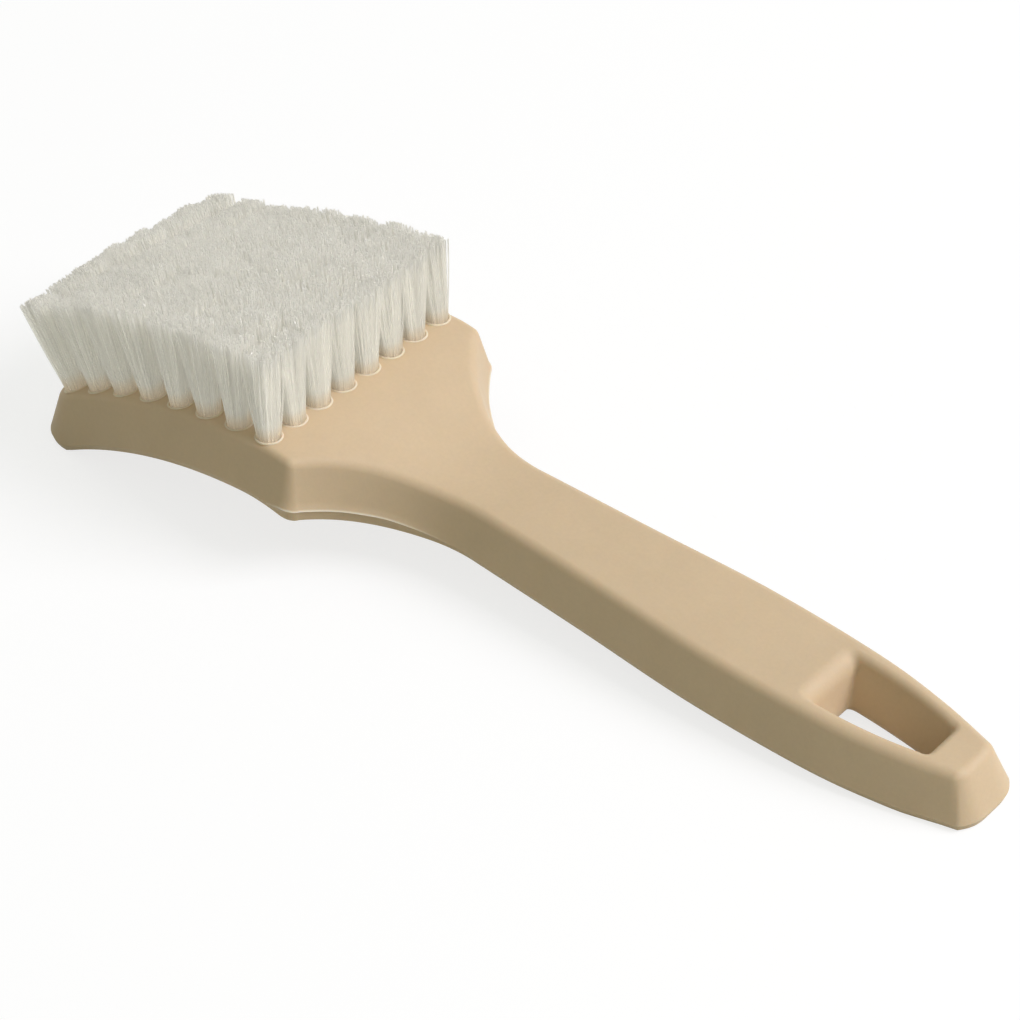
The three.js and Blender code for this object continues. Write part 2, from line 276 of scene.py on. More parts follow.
def ease(x, limits):
    share = np.clip((x - limits[0]) / (limits[1] - limits[0]), 0, 1)
    return share * share * (3 - 2 * share)


def arch(x, crest_x, crest_z, radius):
    reach = np.minimum(np.abs(x - crest_x), radius)
    return crest_z - radius + np.sqrt(radius**2 - reach**2)


def top_height(x):
    deck = arch(x, DECK_CREST_X, DECK_CREST_Z, DECK_RADIUS)
    along = (x - NECK_X) / (END_X - NECK_X)
    bow = np.maximum(4 * GRIP_BOW * along * (1 - along), 0)
    grip = mix(GRIP_TOP_AT_NECK, GRIP_TOP_AT_END, along) + bow
    return mix(deck, grip, ease(x, NECK_FALL))


def belly_height(x):
    head = np.maximum(arch(x, BELLY_CREST_X, BELLY_CREST_Z, BELLY_RADIUS), 0)
    grip = np.maximum(GRIP_BELLY_SLOPE * (REST_FLAT_X - x), 0)
    return mix(head, grip, ease(x, BELLY_FALL))


def edge_radius(x):
    return mix(HEAD_EDGE, GRIP_EDGE, ease(x, (0, NECK_X)))


def arc(centre, radius, start, end, steps):
    angles = np.linspace(start, end, steps + 1)
    return np.array(centre) + radius * np.stack([np.cos(angles), np.sin(angles)], axis=1)


def bezier(controls, steps):
    share = np.linspace(0, 1, steps + 1)[:, None]
    points = [np.tile(control, (steps + 1, 1)) for control in controls]
    while len(points) > 1:
        points = [mix(a, b, share) for a, b in zip(points, points[1:])]
    return points[0]


def spline(knots, steps):
    """Smooth curve through the knots, with as many steps between each two."""
    ends = np.concatenate([knots[:1], knots, knots[-1:]])
    share = np.linspace(0, 1, steps + 1)[:, None]
    pieces = []
    for before, here, there, after in zip(ends, ends[1:], ends[2:], ends[3:]):
        leave = (there - before) / 2
        arrive = (after - here) / 2
        cubic = (2 * here - 2 * there + leave + arrive) * share**3
        square = (3 * there - 3 * here - 2 * leave - arrive) * share**2
        pieces.append(cubic + square + leave * share + here)
    return joined(*pieces)


def joined(*curves):
    return np.concatenate([curves[0]] + [curve[1:] for curve in curves[1:]])


def outward(side):
    """Normals of a side that leaves the toe line square and meets the end line square."""
    ways = np.gradient(side, axis=0)
    ways /= np.linalg.norm(ways, axis=1, keepdims=True)
    normals = np.stack([-ways[:, 1], ways[:, 0]], axis=1)
    normals[0] = (-1, 0)
    normals[-1] = (1, 0)
    return normals


def closed_plan(side, columns):
    """Whole plan of a +Y side and its mirror image, with outward normals."""
    mirror = np.array([1, -1])
    far = side[::-1] * mirror
    share = np.linspace(0, 1, columns + 1)[1:-1, None]
    end_line = mix(side[-1], far[0], share)
    toe_line = mix(far[-1], side[0], share)
    normals = outward(side)
    to_end = np.tile([1.0, 0.0], (columns - 1, 1))
    points = np.concatenate([side, end_line, far, toe_line])
    return points, np.concatenate([normals, to_end, normals[::-1] * mirror, -to_end])


def ring(flat, height):
    """Ring over flat points, moved into the part's frame."""
    place = flat[:, 0] + FIRST_ROW_X
    return np.stack([place, flat[:, 1], height(flat[:, 0])], axis=1)


def loft(rings, stations, columns):
    """Vertices and faces of the closed body between rings, from the top ring to the bottom ring."""
    around = len(rings[0])
    vertices = list(rings)
    faces = []
    for level in range(len(rings) - 1):
        upper = level * around + np.arange(around)
        lower = upper + around
        wall = [upper, np.roll(upper, -1), np.roll(lower, -1), lower]
        faces.append(np.stack(wall, axis=1))
    filled = around * len(rings)
    inner = (stations - 2) * (columns - 1)
    share = np.linspace(0, 1, columns + 1)[None, 1:-1, None]
    for level in (0, len(rings) - 1):
        far = stations + columns - 1 + np.arange(stations)[::-1]
        grid = np.zeros((stations, columns + 1), int)
        grid[:, 0] = np.arange(stations)
        grid[:, columns] = far
        grid[-1, 1:columns] = stations + np.arange(columns - 1)
        grid[0, 1:columns] = 2 * stations + columns - 1 + np.arange(columns - 1)[::-1]
        grid += level * around
        grid[1:-1, 1:columns] = filled + np.arange(inner).reshape(stations - 2, columns - 1)
        near_points = rings[level][1 : stations - 1, None]
        far_points = rings[level][far[1:-1], None]
        vertices.append(mix(near_points, far_points, share).reshape(-1, 3))
        quads = np.stack([grid[:-1, :-1], grid[:-1, 1:], grid[1:, 1:], grid[1:, :-1]], axis=-1)
        quads = quads.reshape(-1, 4)
        faces.append(quads if level == 0 else quads[:, ::-1])
        filled += inner
    return np.concatenate(vertices), np.concatenate(faces)


def add_piece(name, vertices, faces):
    mesh = bpy.data.meshes.new(name)
    mesh.from_pydata(vertices.tolist(), [], [face for group in faces for face in group.tolist()])
    mesh.update()
    piece = bpy.data.objects.new(name, mesh)
    bpy.context.scene.collection.objects.link(piece)
    return piece


def combine(piece, other, operation):
    """Joins another body to a piece or cuts it out, and takes the other body away."""
    modifier = piece.modifiers.new(operation, "BOOLEAN")
    modifier.solver = "MANIFOLD"
    modifier.operation = operation
    modifier.object = other
    graph = bpy.context.evaluated_depsgraph_get()
    made = bpy.data.meshes.new_from_object(piece.evaluated_get(graph))
    piece.modifiers.clear()
    piece.data = made
    bpy.data.objects.remove(other)


def mark_paleness(piece, amount):
    """Marks how pale the plastic is painted at each vertex: partly strained plastic, partly a
    painted highlight.
    """
    layer = piece.data.attributes.new("strain_and_highlight", "FLOAT", "POINT")
    layer.data.foreach_set("value", amount.astype(np.float32))


def row_frame(row):
    """Middle of a tuft row on the deck, the way along the deck to the handle, and the way up."""
    angle = FIRST_ROW_TILT + row * PITCH_ALONG / DECK_RADIUS
    x = DECK_CREST_X - DECK_RADIUS * math.sin(angle) + FIRST_ROW_X
    z = DECK_CREST_Z - DECK_RADIUS * (1 - math.cos(angle))
    along = np.array([math.cos(angle), 0, math.sin(angle)])
    up = np.array([-math.sin(angle), 0, math.cos(angle)])
    return np.array([x, 0, z]), along, up


ACROSS = np.array([0.0, 1.0, 0.0])
COLUMN_Y = (np.arange(COLUMNS) - (COLUMNS - 1) / 2) * PITCH_ACROSS


def block_side():
    side = HEAD_HALF_WIDTH
    toe_centre = (TOE_X + TOE_CORNER, side - TOE_CORNER)
    toe = arc(toe_centre, TOE_CORNER, math.pi, math.pi / 2, TOE_STEPS)
    head = np.linspace(toe[-1], (SHOULDER_X, side), HEAD_STEPS + 1)
    turned = math.pi / 2 - SHOULDER_TURN
    shoulder_centre = (SHOULDER_X, side - SHOULDER_CORNER)
    shoulder = arc(shoulder_centre, SHOULDER_CORNER, math.pi / 2, turned, SHOULDER_STEPS)
    lead = shoulder[-1] + FLARE_LEAD * np.array([math.sin(turned), -math.cos(turned)])
    neck = np.array([NECK_X, NECK_HALF_WIDTH])
    flare = bezier([shoulder[-1], lead, (FLARE_NECK_X, NECK_HALF_WIDTH), neck], FLARE_STEPS)
    grip = spline(np.concatenate([[neck], GRIP_PLAN]), GRIP_STEPS)
    corner = bezier([GRIP_PLAN[-1], *END_CORNER], END_CORNER_STEPS)
    end = bezier([END_CORNER[-1], (END_X, END_BOW_Y), (END_X, END_FLAT_Y)], END_STEPS)
    return joined(toe, head, shoulder, flare, grip, corner, end)


def block_shell():
    side = block_side()
    plan, normals = closed_plan(side, DECK_COLUMNS)
    x = plan[:, 0]
    end_spread = np.where(x < NECK_X, HEAD_SPREAD, END_SPREAD)
    spread = mix(SIDE_SPREAD, end_spread, normals[:, 0] ** END_SPREAD_POWER)
    sharpness = END_SHARPNESS * ease(x, END_SHARP_RUN)
    spread *= mix(1, 1 / np.abs(normals).max(axis=1), sharpness)
    flash_run = ease(x, FLASH_RISE) * (1 - ease(x, FLASH_FADE))
    waves = FLASH_UNEVENNESS * np.sin(x / FLASH_WAVES[0]) * np.sin(x / FLASH_WAVES[1])
    uneven = 1 - FLASH_UNEVENNESS + waves
    flash = mix(*FLASH_PROUD, flash_run * uneven)
    strip = mix(*PARTING_HEIGHT, flash_run)

    def moved(out):
        return plan + normals * out[:, None]

    rings = []
    wall_height = top_height(x) - edge_radius(x) - belly_height(x) - strip
    draft = np.arctan2(spread, wall_height)
    for share in np.linspace(0, 1, EDGE_STEPS + 1):
        angle = share * (math.pi / 2 - draft)
        drop = 1 - np.cos(angle)
        flat = moved(-edge_radius(x) * (1 - np.sin(angle)))
        rings.append(ring(flat, lambda x: top_height(x) - edge_radius(x) * drop))
    brow = rings[-1]
    parting = ring(moved(spread), lambda x: belly_height(x) + strip)
    wall = np.linalg.norm(brow - parting, axis=1)[:, None]
    for step in range(1, WALL_STEPS + 1):
        rings.append(mix(brow, parting, (1 - FLASH_WIDTH / wall) * step / WALL_STEPS))
    flash_ring = len(rings)
    rings.append(ring(moved(spread + flash), lambda x: belly_height(x) + strip))
    lower = spread - PARTING_INSET
    under = moved(mix(spread, lower, FLASH_UNDERCUT))
    rings.append(ring(under, lambda x: belly_height(x) + strip - FLASH_WIDTH))
    for angle in np.linspace(0, math.pi / 2, EDGE_STEPS + 1):
        rise = BELLY_EDGE * (1 - math.sin(angle))
        flat = moved(lower - BELLY_EDGE * (1 - math.cos(angle)))
        rings.append(ring(flat, lambda x: belly_height(x) + rise))
    vertices, faces = loft(rings, len(side), DECK_COLUMNS)
    strain_and_highlight = np.zeros(len(vertices))
    # The flash ring is painted pale: partly strained plastic, partly a painted highlight
    strain_and_highlight[flash_ring * len(plan) :][: len(plan)] = flash_run
    return vertices, faces, strain_and_highlight


def hanging_hole():
    toe_x, end_x = HOLE_TOE_X, HOLE_END_X
    toe_half, end_half = HOLE_TOE_HALF, HOLE_END_HALF
    toe_end = (toe_x + HOLE_CORNER, toe_half)
    end_start = (end_x - HOLE_CORNER, end_half)
    toe = [(toe_x, toe_half - HOLE_CORNER), (toe_x, toe_half), toe_end]
    toe = bezier(toe, HOLE_CORNER_STEPS)
    bow = bezier([toe_end, (HOLE_BOW_X, HOLE_BOW_HALF), end_start], HOLE_BOW_STEPS)
    end = [end_start, (end_x, end_half), (end_x, end_half - HOLE_CORNER)]
    end = bezier(end, HOLE_CORNER_STEPS)
    side = joined(toe, bow, end)
    plan, normals = closed_plan(side, HOLE_COLUMNS)
    rim = mix(HOLE_RIM, HOLE_TOE_RIM, np.maximum(-normals[:, 0], 0) ** 2)

    def mouth(flare):
        return plan + normals * (rim * flare)[:, None]

    def foot(flare):
        flat = plan + normals * HOLE_FOOT_RIM * flare
        along = mix(end_x, flat[:, 0], HOLE_FOOT_LENGTH)
        return np.stack([along, flat[:, 1] * HOLE_FOOT_WIDTH], axis=1)

    rings = [ring(mouth(1), lambda x: top_height(x) + HOLE_OVERSHOOT)]
    angles = np.linspace(0, math.pi / 2, EDGE_STEPS + 1)
    for angle in angles:
        drop = rim * (1 - math.cos(angle)) - HOLE_LIFT
        rings.append(ring(mouth(1 - math.sin(angle)), lambda x: top_height(x) - drop))
    throat = rings[-1]
    sill = ring(foot(0), lambda x: belly_height(x) + HOLE_FOOT_RIM)
    for step in range(1, WALL_STEPS):
        rings.append(mix(throat, sill, step / WALL_STEPS))
    for angle in angles[::-1]:
        rise = HOLE_FOOT_RIM * (1 - math.cos(angle)) - HOLE_LIFT
        rings.append(ring(foot(1 - math.sin(angle)), lambda x: belly_height(x) + rise))
    rings.append(ring(foot(1), lambda x: belly_height(x) - HOLE_OVERSHOOT))
    return loft(rings, len(side), HOLE_COLUMNS)


def over_tufts(make):
    """Same closed body at every tuft, from points given as along, across and up."""
    vertices, faces = [], []
    count = 0
    for row in range(ROWS):
        origin, along, up = row_frame(row)
        axes = np.stack([along, ACROSS, up])
        for y in COLUMN_Y:
            points, polygons = make()
            vertices.append(points @ axes + origin + ACROSS * y)
            faces += [group + count for group in polygons]
            count += len(points)
    return np.concatenate(vertices), faces


def socket():
    angles = np.linspace(0, 2 * math.pi, ROUND_STEPS, endpoint=False)
    circle = SOCKET_RADIUS * np.stack([np.cos(angles), np.sin(angles)], axis=1)
    floor = np.column_stack([circle, np.full(ROUND_STEPS, -SOCKET_DEPTH)])
    lid = np.column_stack([circle, np.full(ROUND_STEPS, SOCKET_CLEAR)])
    low = np.arange(ROUND_STEPS)
    high = low + ROUND_STEPS
    wall = np.stack([low, np.roll(low, -1), np.roll(high, -1), high], axis=1)
    return np.concatenate([floor, lid]), [wall, low[None, ::-1], high[None]]


def lip(random):
    """Low bead of plastic round a socket, uneven in height."""
    turn = np.linspace(0, 2 * math.pi, ROUND_STEPS, endpoint=False)[:, None]
    roll = np.linspace(0, 2 * math.pi, LIP_STEPS, endpoint=False)[None]
    height = random.uniform(*LIP_HEIGHT)
    height = height * (1 + LIP_UNEVENNESS * np.sin(turn + random.uniform(0, 2 * math.pi)))
    reach = LIP_RADIUS + LIP_HALF_WIDTH * np.cos(roll)
    up = np.broadcast_to(height * np.sin(roll), (ROUND_STEPS, LIP_STEPS))
    points = np.stack([reach * np.cos(turn), reach * np.sin(turn), up], axis=-1).reshape(-1, 3)
    index = np.arange(ROUND_STEPS * LIP_STEPS).reshape(ROUND_STEPS, LIP_STEPS)
    beside = np.roll(index, -1, axis=0)
    corners = [index, beside, np.roll(beside, -1, axis=1), np.roll(index, -1, axis=1)]
    return points, [np.stack(corners, axis=-1).reshape(-1, 4)]


def anchor_slots():
    corner = np.array([[-1, -1], [1, -1], [1, 1], [-1, 1]]) * (SLOT_WIDTH / 2, SLOT_REACH)
    vertices, faces = [], []
    sides = np.array([[0, 1, 5, 4], [1, 2, 6, 5], [2, 3, 7, 6], [3, 0, 4, 7]])
    for row in range(ROWS):
        origin, along, up = row_frame(row)
        for depth in SLOT_DEPTHS[::-1]:
            level = np.column_stack([corner, np.full(4, -depth)])
            vertices.append(level @ np.stack([along, ACROSS, up]) + origin)
        count = 8 * row
        faces += [sides + count, np.array([[3, 2, 1, 0], [4, 5, 6, 7]]) + count]
    return np.concatenate(vertices), faces


def make_block(random):
    shell, walls, flash = block_shell()
    block = add_piece("moulded_block", shell, [walls])
    mark_paleness(block, flash)
    lips = add_piece("lips", *over_tufts(lambda: lip(random)))
    # The lips are painted pale all round: partly strained plastic, partly a painted highlight
    mark_paleness(lips, np.full(len(lips.data.vertices), LIP_STRAIN_AND_HIGHLIGHT))
    combine(block, lips, "UNION")
    combine(block, add_piece("sockets", *over_tufts(socket)), "DIFFERENCE")
    combine(block, add_piece("slots", *anchor_slots()), "DIFFERENCE")
    hole, hole_walls = hanging_hole()
    combine(block, add_piece("hole", hole, [hole_walls]), "DIFFERENCE")
    block.data.shade_smooth()
    block.data.set_sharp_from_angle(angle=SHARP_ANGLE)
    return block


def tip_reach(row):
    """How far the tips of a row's tufts spread along and across: down those axes, and up them."""
    low = np.tile([CELL_ALONG, CELL_ACROSS], (COLUMNS, 1))
    high = low.copy()
    low[0, 1] = NEAR_REACH
    high[-1, 1] = FAR_REACH
    if row == 0:
        high[:, 0] = HANDLE_REACH
    if row == ROWS - 1:
        low[:, 0] = TOE_REACH
    return low, high


def trim_length(row):
    """Lengths of a row's tufts, trimmed flatter than the deck and lower on the far side."""
    along = row / (ROWS - 1) * 2 - 1
    across = np.arange(COLUMNS) / (COLUMNS - 1) * 2 - 1
    hollow = TRIM_HOLLOW * (1 - along**2) * (1 + HOLLOW_SKEW * along) * (1 + across) / 2
    crown = TOE_CROWN * max(along, 0) ** TOE_CROWN_POWER * (1 - across**2)
    fall = TRIM_FALL * (1 + FALL_SKEW * along) * across
    return TRIM_LENGTH - fall - hollow + crown


def clump_shares(spots, random):
    """Clump of each strand of each tuft, by the nearest of some random spots in the tuft."""
    distance = np.sqrt(random.uniform(0, 1, (COLUMNS, CLUMPS)))
    angle = random.uniform(0, 2 * math.pi, (COLUMNS, CLUMPS))
    centres = distance[..., None] * np.stack([np.cos(angle), np.sin(angle)], axis=-1)
    gaps = np.linalg.norm(spots[:, :, None] - centres[:, None], axis=-1)
    return gaps.argmin(axis=-1)


def strand_lines(row, random):
    """Middle lines of a row's strands, along, across and up at each step, and their slants."""
    share = np.sqrt((np.arange(STRANDS) + 0.5) / STRANDS)
    turns = random.uniform(0, 2 * math.pi, (COLUMNS, 1))
    angle = np.arange(STRANDS) * GOLDEN_ANGLE + turns
    way = np.stack([np.cos(angle), np.sin(angle)], axis=-1)
    root = BUNDLE_RADIUS * share[:, None] * way
    square = np.abs(way).max(axis=-1, keepdims=True) ** -CELL_SQUARENESS
    low, high = tip_reach(row)
    tip = share[:, None] * square * way
    tip = tip * np.where(tip < 0, low[:, None], high[:, None])
    member = clump_shares(share[:, None] * way, random)[..., None] == np.arange(CLUMPS)
    weight = member / np.maximum(member.sum(axis=1, keepdims=True), 1)
    middle = np.einsum("tsc,tsk->tck", weight, tip)
    gathered = np.einsum("tsc,tck->tsk", member, middle)
    clump_lean = np.einsum("tsc,tck->tsk", member, random.normal(0, CLUMP_LEAN, middle.shape))
    tip = mix(tip, gathered, CLUMP_PULL) + clump_lean
    tip = tip + random.normal(0, TUFT_LEAN, (COLUMNS, 1, 2))
    tip = tip + random.normal(0, STRAND_LEAN, tip.shape).clip(-STRAND_STRAY, STRAND_STRAY)
    bow = random.normal(0, STRAND_BOW, tip.shape)
    crown = TUFT_CROWN * (np.mean(share**2) - share**2)
    trim = random.normal(0, TUFT_TRIM, (COLUMNS, 1)) + random.normal(0, STRAND_TRIM, angle.shape)
    trim = trim + np.einsum("tsc,tc->ts", member, random.normal(0, CLUMP_TRIM, (COLUMNS, CLUMPS)))
    length = (trim_length(row)[:, None] + crown + trim)[..., None]
    step = np.linspace(0, 1, STRAND_STEPS + 1)
    height = mix(-STRAND_SINK, length, step)
    free = np.maximum(height / length, 0)
    sideways = mix(root[..., None, :], tip[..., None, :], free[..., None] ** SPLAY_POWER)
    sideways = sideways + bow[..., None, :] * np.sin(math.pi * free)[..., None]
    sideways[..., 1] += COLUMN_Y[:, None, None]
    line = np.concatenate([sideways, height[..., None]], axis=-1)
    slant = random.normal(0, CUT_SLANT, (*angle.shape, 2))
    return line.reshape(-1, STRAND_STEPS + 1, 3), slant.reshape(-1, 2)


def strand_faces(count):
    """Walls, tips and roots of strands whose vertices run by strand, step and side."""
    index = np.arange(count * (STRAND_STEPS + 1) * STRAND_SIDES)
    index = index.reshape(count, STRAND_STEPS + 1, STRAND_SIDES)
    beside = np.roll(index, -1, axis=2)
    walls = np.stack([index[:, :-1], beside[:, :-1], beside[:, 1:], index[:, 1:]], axis=-1)
    return [walls.reshape(-1, 4), index[:, -1], index[:, 0, ::-1]]


def strand_map(count):
    """Places of the face corners in a map with one cell a strand, in the order of strand_faces."""
    rows = math.ceil(count / MAP_COLUMNS)
    cell = np.stack([np.arange(count) % MAP_COLUMNS, np.arange(count) // MAP_COLUMNS], axis=-1)
    side, step = np.meshgrid(np.arange(STRAND_SIDES), np.arange(STRAND_STEPS))
    corner = np.array([[0, 0], [1, 0], [1, 1], [0, 1]])
    across = (side[..., None] + corner[:, 0]) / STRAND_SIDES * MAP_FILL
    along = (step[..., None] + corner[:, 1]) / STRAND_STEPS * MAP_TIP
    wall = np.stack([across, along], axis=-1)
    walls = cell[:, None, None, None] + wall
    angle = np.linspace(0, 2 * math.pi, STRAND_SIDES, endpoint=False)
    disc = MAP_DISC * np.stack([np.cos(angle), np.sin(angle)], axis=-1)
    tip = cell[:, None] + (MAP_DISC_PLACES[0], (1 + MAP_TIP) / 2) + disc
    root = cell[:, None] + (MAP_DISC_PLACES[1], (1 + MAP_TIP) / 2) + disc[::-1]
    corners = [part.reshape(-1, 2) for part in (walls, tip, root)]
    return np.concatenate(corners) / (MAP_COLUMNS, rows)


def make_tuft_row(row, random):
    line, slant = strand_lines(row, random)
    count = len(line)
    angle = np.linspace(0, 2 * math.pi, STRAND_SIDES, endpoint=False)
    flat = np.zeros(STRAND_SIDES)
    circle = STRAND_RADIUS * np.stack([np.cos(angle), np.sin(angle), flat], axis=1)
    points = line[:, :, None] + circle
    points[:, -1, :, 2] += slant @ circle[:, :2].T
    origin, along, up = row_frame(row)
    vertices = points.reshape(-1, 3) @ np.stack([along, ACROSS, up]) + origin
    tufts = add_piece(f"tufts_row_{row + 1}", vertices, strand_faces(count))
    mesh = tufts.data
    smooth = np.ones(len(mesh.polygons), bool)
    smooth[-2 * count :] = False
    mesh.polygons.foreach_set("use_smooth", smooth)
    steps = np.linspace(0, 1, STRAND_STEPS + 1)
    reach = np.tile(np.repeat(steps, STRAND_SIDES), count)
    tone = np.repeat(random.uniform(0, 1, count), (STRAND_STEPS + 1) * STRAND_SIDES)
    for name, values in (("root_to_tip", reach), ("strand_tone", tone)):
        layer = mesh.attributes.new(name, "FLOAT", "POINT")
        layer.data.foreach_set("value", values.astype(np.float32))
    uv = mesh.uv_layers.new(name=MAP_NAME)
    uv.data.foreach_set("uv", strand_map(count).astype(np.float32).ravel())
    return tufts


def add_node(tree, kind, settings=None, **inputs):
    """New node with its settings, and its inputs linked or set by name (a space is _) or number."""
    node = tree.nodes.new(kind)
    for name, value in (settings or {}).items():
        setattr(node, name, value)
    for name, value in inputs.items():
        numbered = name[0] == "i" and name[1:].isdigit()
        target = node.inputs[int(name[1:]) if numbered else name.replace("_", " ")]
        if isinstance(value, bpy.types.NodeSocket):
            tree.links.new(value, target)
        else:
            target.default_value = value
    return node


def maths(tree, operation, first, second):
    inputs = {"i0": first, "i1": second}
    return add_node(tree, "ShaderNodeMath", {"operation": operation}, **inputs).outputs[0]


def scaled(tree, colour, gain):
    inputs = {"i0": colour, "Scale": gain}
    return add_node(tree, "ShaderNodeVectorMath", {"operation": "SCALE"}, **inputs).outputs[0]


def ranged(tree, value, **limits):
    return add_node(tree, "ShaderNodeMapRange", Value=value, **limits).outputs[0]


def noise_value(tree, place, scale, kind):
    return add_node(tree, "ShaderNodeTexNoise", Vector=place, Scale=scale, **kind).outputs["Fac"]


def mesh_value(tree, name):
    return add_node(tree, "ShaderNodeAttribute", {"attribute_name": name}).outputs["Fac"]


def mixed_shaders(tree, share, first, second):
    return add_node(tree, "ShaderNodeMixShader", i0=share, i1=first, i2=second).outputs[0]


def new_group(name, inputs, outputs):
    group = bpy.data.node_groups.new(name, "ShaderNodeTree")
    for label, kind in inputs:
        group.interface.new_socket(label, in_out="INPUT", socket_type=kind)
    for label, kind in outputs:
        group.interface.new_socket(label, in_out="OUTPUT", socket_type=kind)
    given = group.nodes.new("NodeGroupInput").outputs
    return group, given, group.nodes.new("NodeGroupOutput").inputs


def tone_drift_group():
    """Colour that drifts lighter and darker over the surface."""
    colour = ("Color", "NodeSocketColor")
    inputs = [colour, ("Scale", "NodeSocketFloat"), ("Amount", "NodeSocketFloat")]
    group, given, result = new_group("tone_drift", inputs, [colour])
    place = add_node(group, "ShaderNodeTexCoord").outputs["Object"]
    noise = noise_value(group, place, given["Scale"], DRIFT_NOISE)
    swing = maths(group, "SUBTRACT", noise, NOISE_MIDDLE)
    swing = maths(group, "MULTIPLY", swing, given["Amount"])
    toned = scaled(group, given["Color"], maths(group, "ADD", swing, 1.0))
    group.links.new(toned, result["Color"])
    return group


def grain_group():
    """Height of a fine grain with some coarser waves in it."""
    inputs = [("Scale", "NodeSocketFloat"), ("Waves", "NodeSocketFloat")]
    group, given, result = new_group("surface_grain", inputs, [("Height", "NodeSocketFloat")])
    place = add_node(group, "ShaderNodeTexCoord").outputs["Object"]
    fine = noise_value(group, place, given["Scale"], FINE_NOISE)
    coarse_scale = maths(group, "MULTIPLY", given["Scale"], COARSE_SCALE)
    coarse = noise_value(group, place, coarse_scale, COARSE_NOISE)
    waves = maths(group, "MULTIPLY", coarse, given["Waves"])
    group.links.new(maths(group, "ADD", fine, waves), result["Height"])
    return group


def new_material(name):
    material = bpy.data.materials.new(name)
    material.use_nodes = True
    tree = material.node_tree
    return material, tree, tree.nodes["Principled BSDF"]


def place_group(tree, group, **inputs):
    return add_node(tree, "ShaderNodeGroup", {"node_tree": group}, **inputs).outputs[0]


def connect(tree, shader, **outputs):
    for name, socket_out in outputs.items():
        tree.links.new(socket_out, shader.inputs[name.replace("_", " ")])


def set_values(shader, **values):
    for name, value in values.items():
        shader.inputs[name.replace("_", " ")].default_value = value


def foamed_plastic(tone_drift, surface_grain):
    """Tan foamed plastic: satin, faintly clouded and speckled, paler on the flash and the lips,
    partly as strained plastic and partly as a painted highlight.
    """
    material, tree, shader = new_material("tan_foamed_plastic")
    clouds = place_group(tree, tone_drift, Color=TAN, **TAN_CLOUDS)
    speckles = place_group(tree, tone_drift, Color=clouds, **TAN_SPECKLES)
    grain = place_group(tree, surface_grain, **TAN_GRAIN)
    bump = add_node(tree, "ShaderNodeBump", Height=grain, **TAN_GRAIN_DEPTH).outputs[0]
    rough = ranged(tree, grain, **TAN_ROUGHNESS)
    # Paler tan on the flash and the lips: partly strained plastic, partly a painted highlight
    paleness = mesh_value(tree, "strain_and_highlight")
    hue = {"i0": paleness, "i6": speckles, "i7": STRAIN_AND_HIGHLIGHT_TAN}
    hue = add_node(tree, "ShaderNodeMix", {"data_type": "RGBA"}, **hue).outputs[2]
    connect(tree, shader, Base_Color=hue, Roughness=rough, Normal=bump)
    set_values(shader, **TAN_GLOSS, **TAN_INNER_LIGHT)
    return material


def nylon(tone_drift):
    """Off-white translucent filament with a painted glow, each strand with a tone of its own;
    warmer and darker at the root by painted shade and a painted reflection of the tan block.
    """
    material, tree, shader = new_material("nylon_filament")
    reach = mesh_value(tree, "root_to_tip")
    tone = mesh_value(tree, "strand_tone")
    # Painted shade and painted reflection of the tan block: the strands turn warmer and darker
    # towards the root
    ramp = add_node(tree, "ShaderNodeValToRGB", Fac=reach)
    for stop, (position, colour) in zip(ramp.color_ramp.elements, NYLON_SHADED_ROOT_STOPS):
        stop.position = position
        stop.color = colour
    toned = scaled(tree, ramp.outputs["Color"], ranged(tree, tone, **NYLON_TONES))
    hue = place_group(tree, tone_drift, Color=toned, **NYLON_DRIFT)
    rough = ranged(tree, tone, **NYLON_ROUGHNESS)
    cut = ranged(tree, reach, From_Min=CUT_START)
    gloss = maths(tree, "MULTIPLY", ranged(tree, tone, **GLOSSY_TONES), cut)
    connect(tree, shader, Base_Color=hue, Emission_Color=hue, Roughness=rough, Coat_Weight=gloss)
    set_values(shader, IOR=NYLON_IOR, Transmission_Weight=NYLON_CLEAR, **CUT_GLOSS)
    # Painted glow: the strands give off light in their own colour, though they are no lamp
    set_values(shader, Emission_Strength=NYLON_PAINTED_GLOW)
    through = add_node(tree, "ShaderNodeBsdfTranslucent", Color=hue).outputs[0]
    milky = mixed_shaders(tree, NYLON_THROUGH, shader.outputs[0], through)
    lamp_ray = add_node(tree, "ShaderNodeLightPath").outputs["Is Shadow Ray"]
    passed = maths(tree, "MULTIPLY", lamp_ray, NYLON_SHADOW)
    clear = add_node(tree, "ShaderNodeBsdfTransparent", Color=WHITE).outputs[0]
    both = mixed_shaders(tree, passed, milky, clear)
    tree.links.new(both, tree.nodes["Material Output"].inputs["Surface"])
    return material


def flat_wire(tone_drift, surface_grain):
    """Drawn steel wire."""
    material, tree, shader = new_material("drawn_flat_wire")
    steel = place_group(tree, tone_drift, Color=STEEL, **STEEL_DRIFT)
    grain = place_group(tree, surface_grain, **STEEL_GRAIN)
    bump = add_node(tree, "ShaderNodeBump", Height=grain, **STEEL_GRAIN_DEPTH).outputs[0]
    rough = ranged(tree, grain, **STEEL_ROUGHNESS)
    connect(tree, shader, Base_Color=steel, Roughness=rough, Normal=bump)
    set_values(shader, Metallic=1.0)
    return material


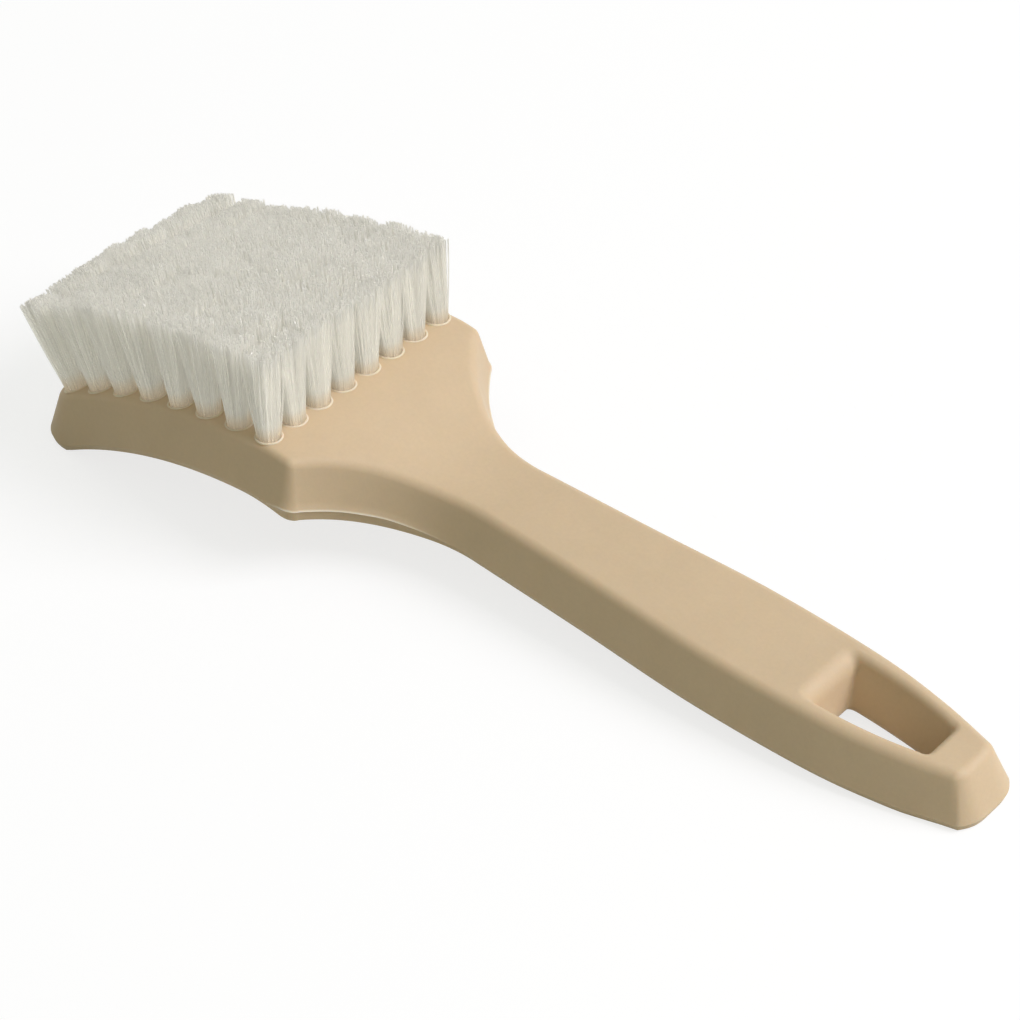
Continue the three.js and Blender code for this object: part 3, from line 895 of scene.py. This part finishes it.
def make_camera():
    level = math.cos(CAMERA_ELEVATION)
    side = math.sin(CAMERA_AZIMUTH) * level
    front = -math.cos(CAMERA_AZIMUTH) * level
    back = Vector((side, front, math.sin(CAMERA_ELEVATION)))
    camera = bpy.data.objects.new("camera", bpy.data.cameras.new("camera"))
    camera.data.lens = CAMERA_LENS
    camera.data.sensor_width = SENSOR_WIDTH
    camera.location = CAMERA_AIM + back * CAMERA_DISTANCE
    camera.rotation_euler = back.to_track_quat("Z", "Y").to_euler()
    bpy.context.scene.collection.objects.link(camera)
    bpy.context.scene.camera = camera


def make_key():
    """Large soft lamp above the far side of the hanging end."""
    lamp = bpy.data.objects.new("key", bpy.data.lights.new("key", "AREA"))
    lamp.data.size = KEY_SIZE
    lamp.data.energy = KEY_POWER
    lamp.data.color = KEY_COLOUR
    lamp.location = KEY_PLACE
    lamp.rotation_euler = Vector(KEY_PLACE).to_track_quat("Z", "Y").to_euler()
    bpy.context.scene.collection.objects.link(lamp)


def seen_directly(tree):
    """1 for rays from the camera, or seen in a gloss or through nylon, 0 for rays of light."""
    path = add_node(tree, "ShaderNodeLightPath").outputs
    either = maths(tree, "MAXIMUM", path["Is Camera Ray"], path["Is Glossy Ray"])
    return maths(tree, "MAXIMUM", either, path["Is Transmission Ray"])


def make_surroundings():
    """White to look at, with a soft light of its own."""
    world = bpy.data.worlds.new("surroundings")
    bpy.context.scene.world = world
    world.use_nodes = True
    tree = world.node_tree
    tree.nodes.clear()
    ambient = add_node(tree, "ShaderNodeBackground", **AMBIENT).outputs[0]
    white = add_node(tree, "ShaderNodeBackground", Color=WHITE, Strength=1.0).outputs[0]
    both = mixed_shaders(tree, seen_directly(tree), ambient, white)
    add_node(tree, "ShaderNodeOutputWorld", Surface=both)


def make_floor():
    """Pale floor that keeps the shadow."""
    material = bpy.data.materials.new("pale_floor")
    material.use_nodes = True
    tree = material.node_tree
    tree.nodes.clear()
    bounce = add_node(tree, "ShaderNodeBsdfDiffuse", Color=FLOOR_BOUNCE).outputs[0]
    shade = add_node(tree, "ShaderNodeBsdfDiffuse", Color=FLOOR_SHADE).outputs[0]
    glow = add_node(tree, "ShaderNodeEmission", Color=WHITE, Strength=FLOOR_GLOW).outputs[0]
    seen = add_node(tree, "ShaderNodeAddShader", i0=shade, i1=glow).outputs[0]
    both = mixed_shaders(tree, seen_directly(tree), bounce, seen)
    add_node(tree, "ShaderNodeOutputMaterial", Surface=both)

    corners = np.array([[-1, -1, 0], [1, -1, 0], [1, 1, 0], [-1, 1, 0]]) * FLOOR_REACH
    floor = add_piece("floor", corners, [np.array([[0, 1, 2, 3]])])
    floor.data.materials.append(material)


def make_stage():
    bpy.context.scene.view_settings.view_transform = "Standard"
    make_surroundings()
    make_floor()
    make_key()


make_camera()
make_stage()
draws = np.random.default_rng(SEED)
tone_drift = tone_drift_group()
surface_grain = grain_group()

block = make_block(draws)
block.data.materials.clear()
block.data.materials.append(foamed_plastic(tone_drift, surface_grain))
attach(block, "root")
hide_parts("handle_block")

filament = nylon(tone_drift)
for row in range(ROWS):
    tufts = make_tuft_row(row, draws)
    tufts.data.materials.append(filament)
    first = row - row % ROWS_PER_NODE + 1
    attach(tufts, "root")
    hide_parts(f"bristles_rows_{first}_{first + ROWS_PER_NODE - 1}")

wire = flat_wire(tone_drift, surface_grain)
for row in range(ROWS):
    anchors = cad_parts[f"anchors_row_{row + 1}"]
    anchors.data.materials.clear()
    anchors.data.materials.append(wire)
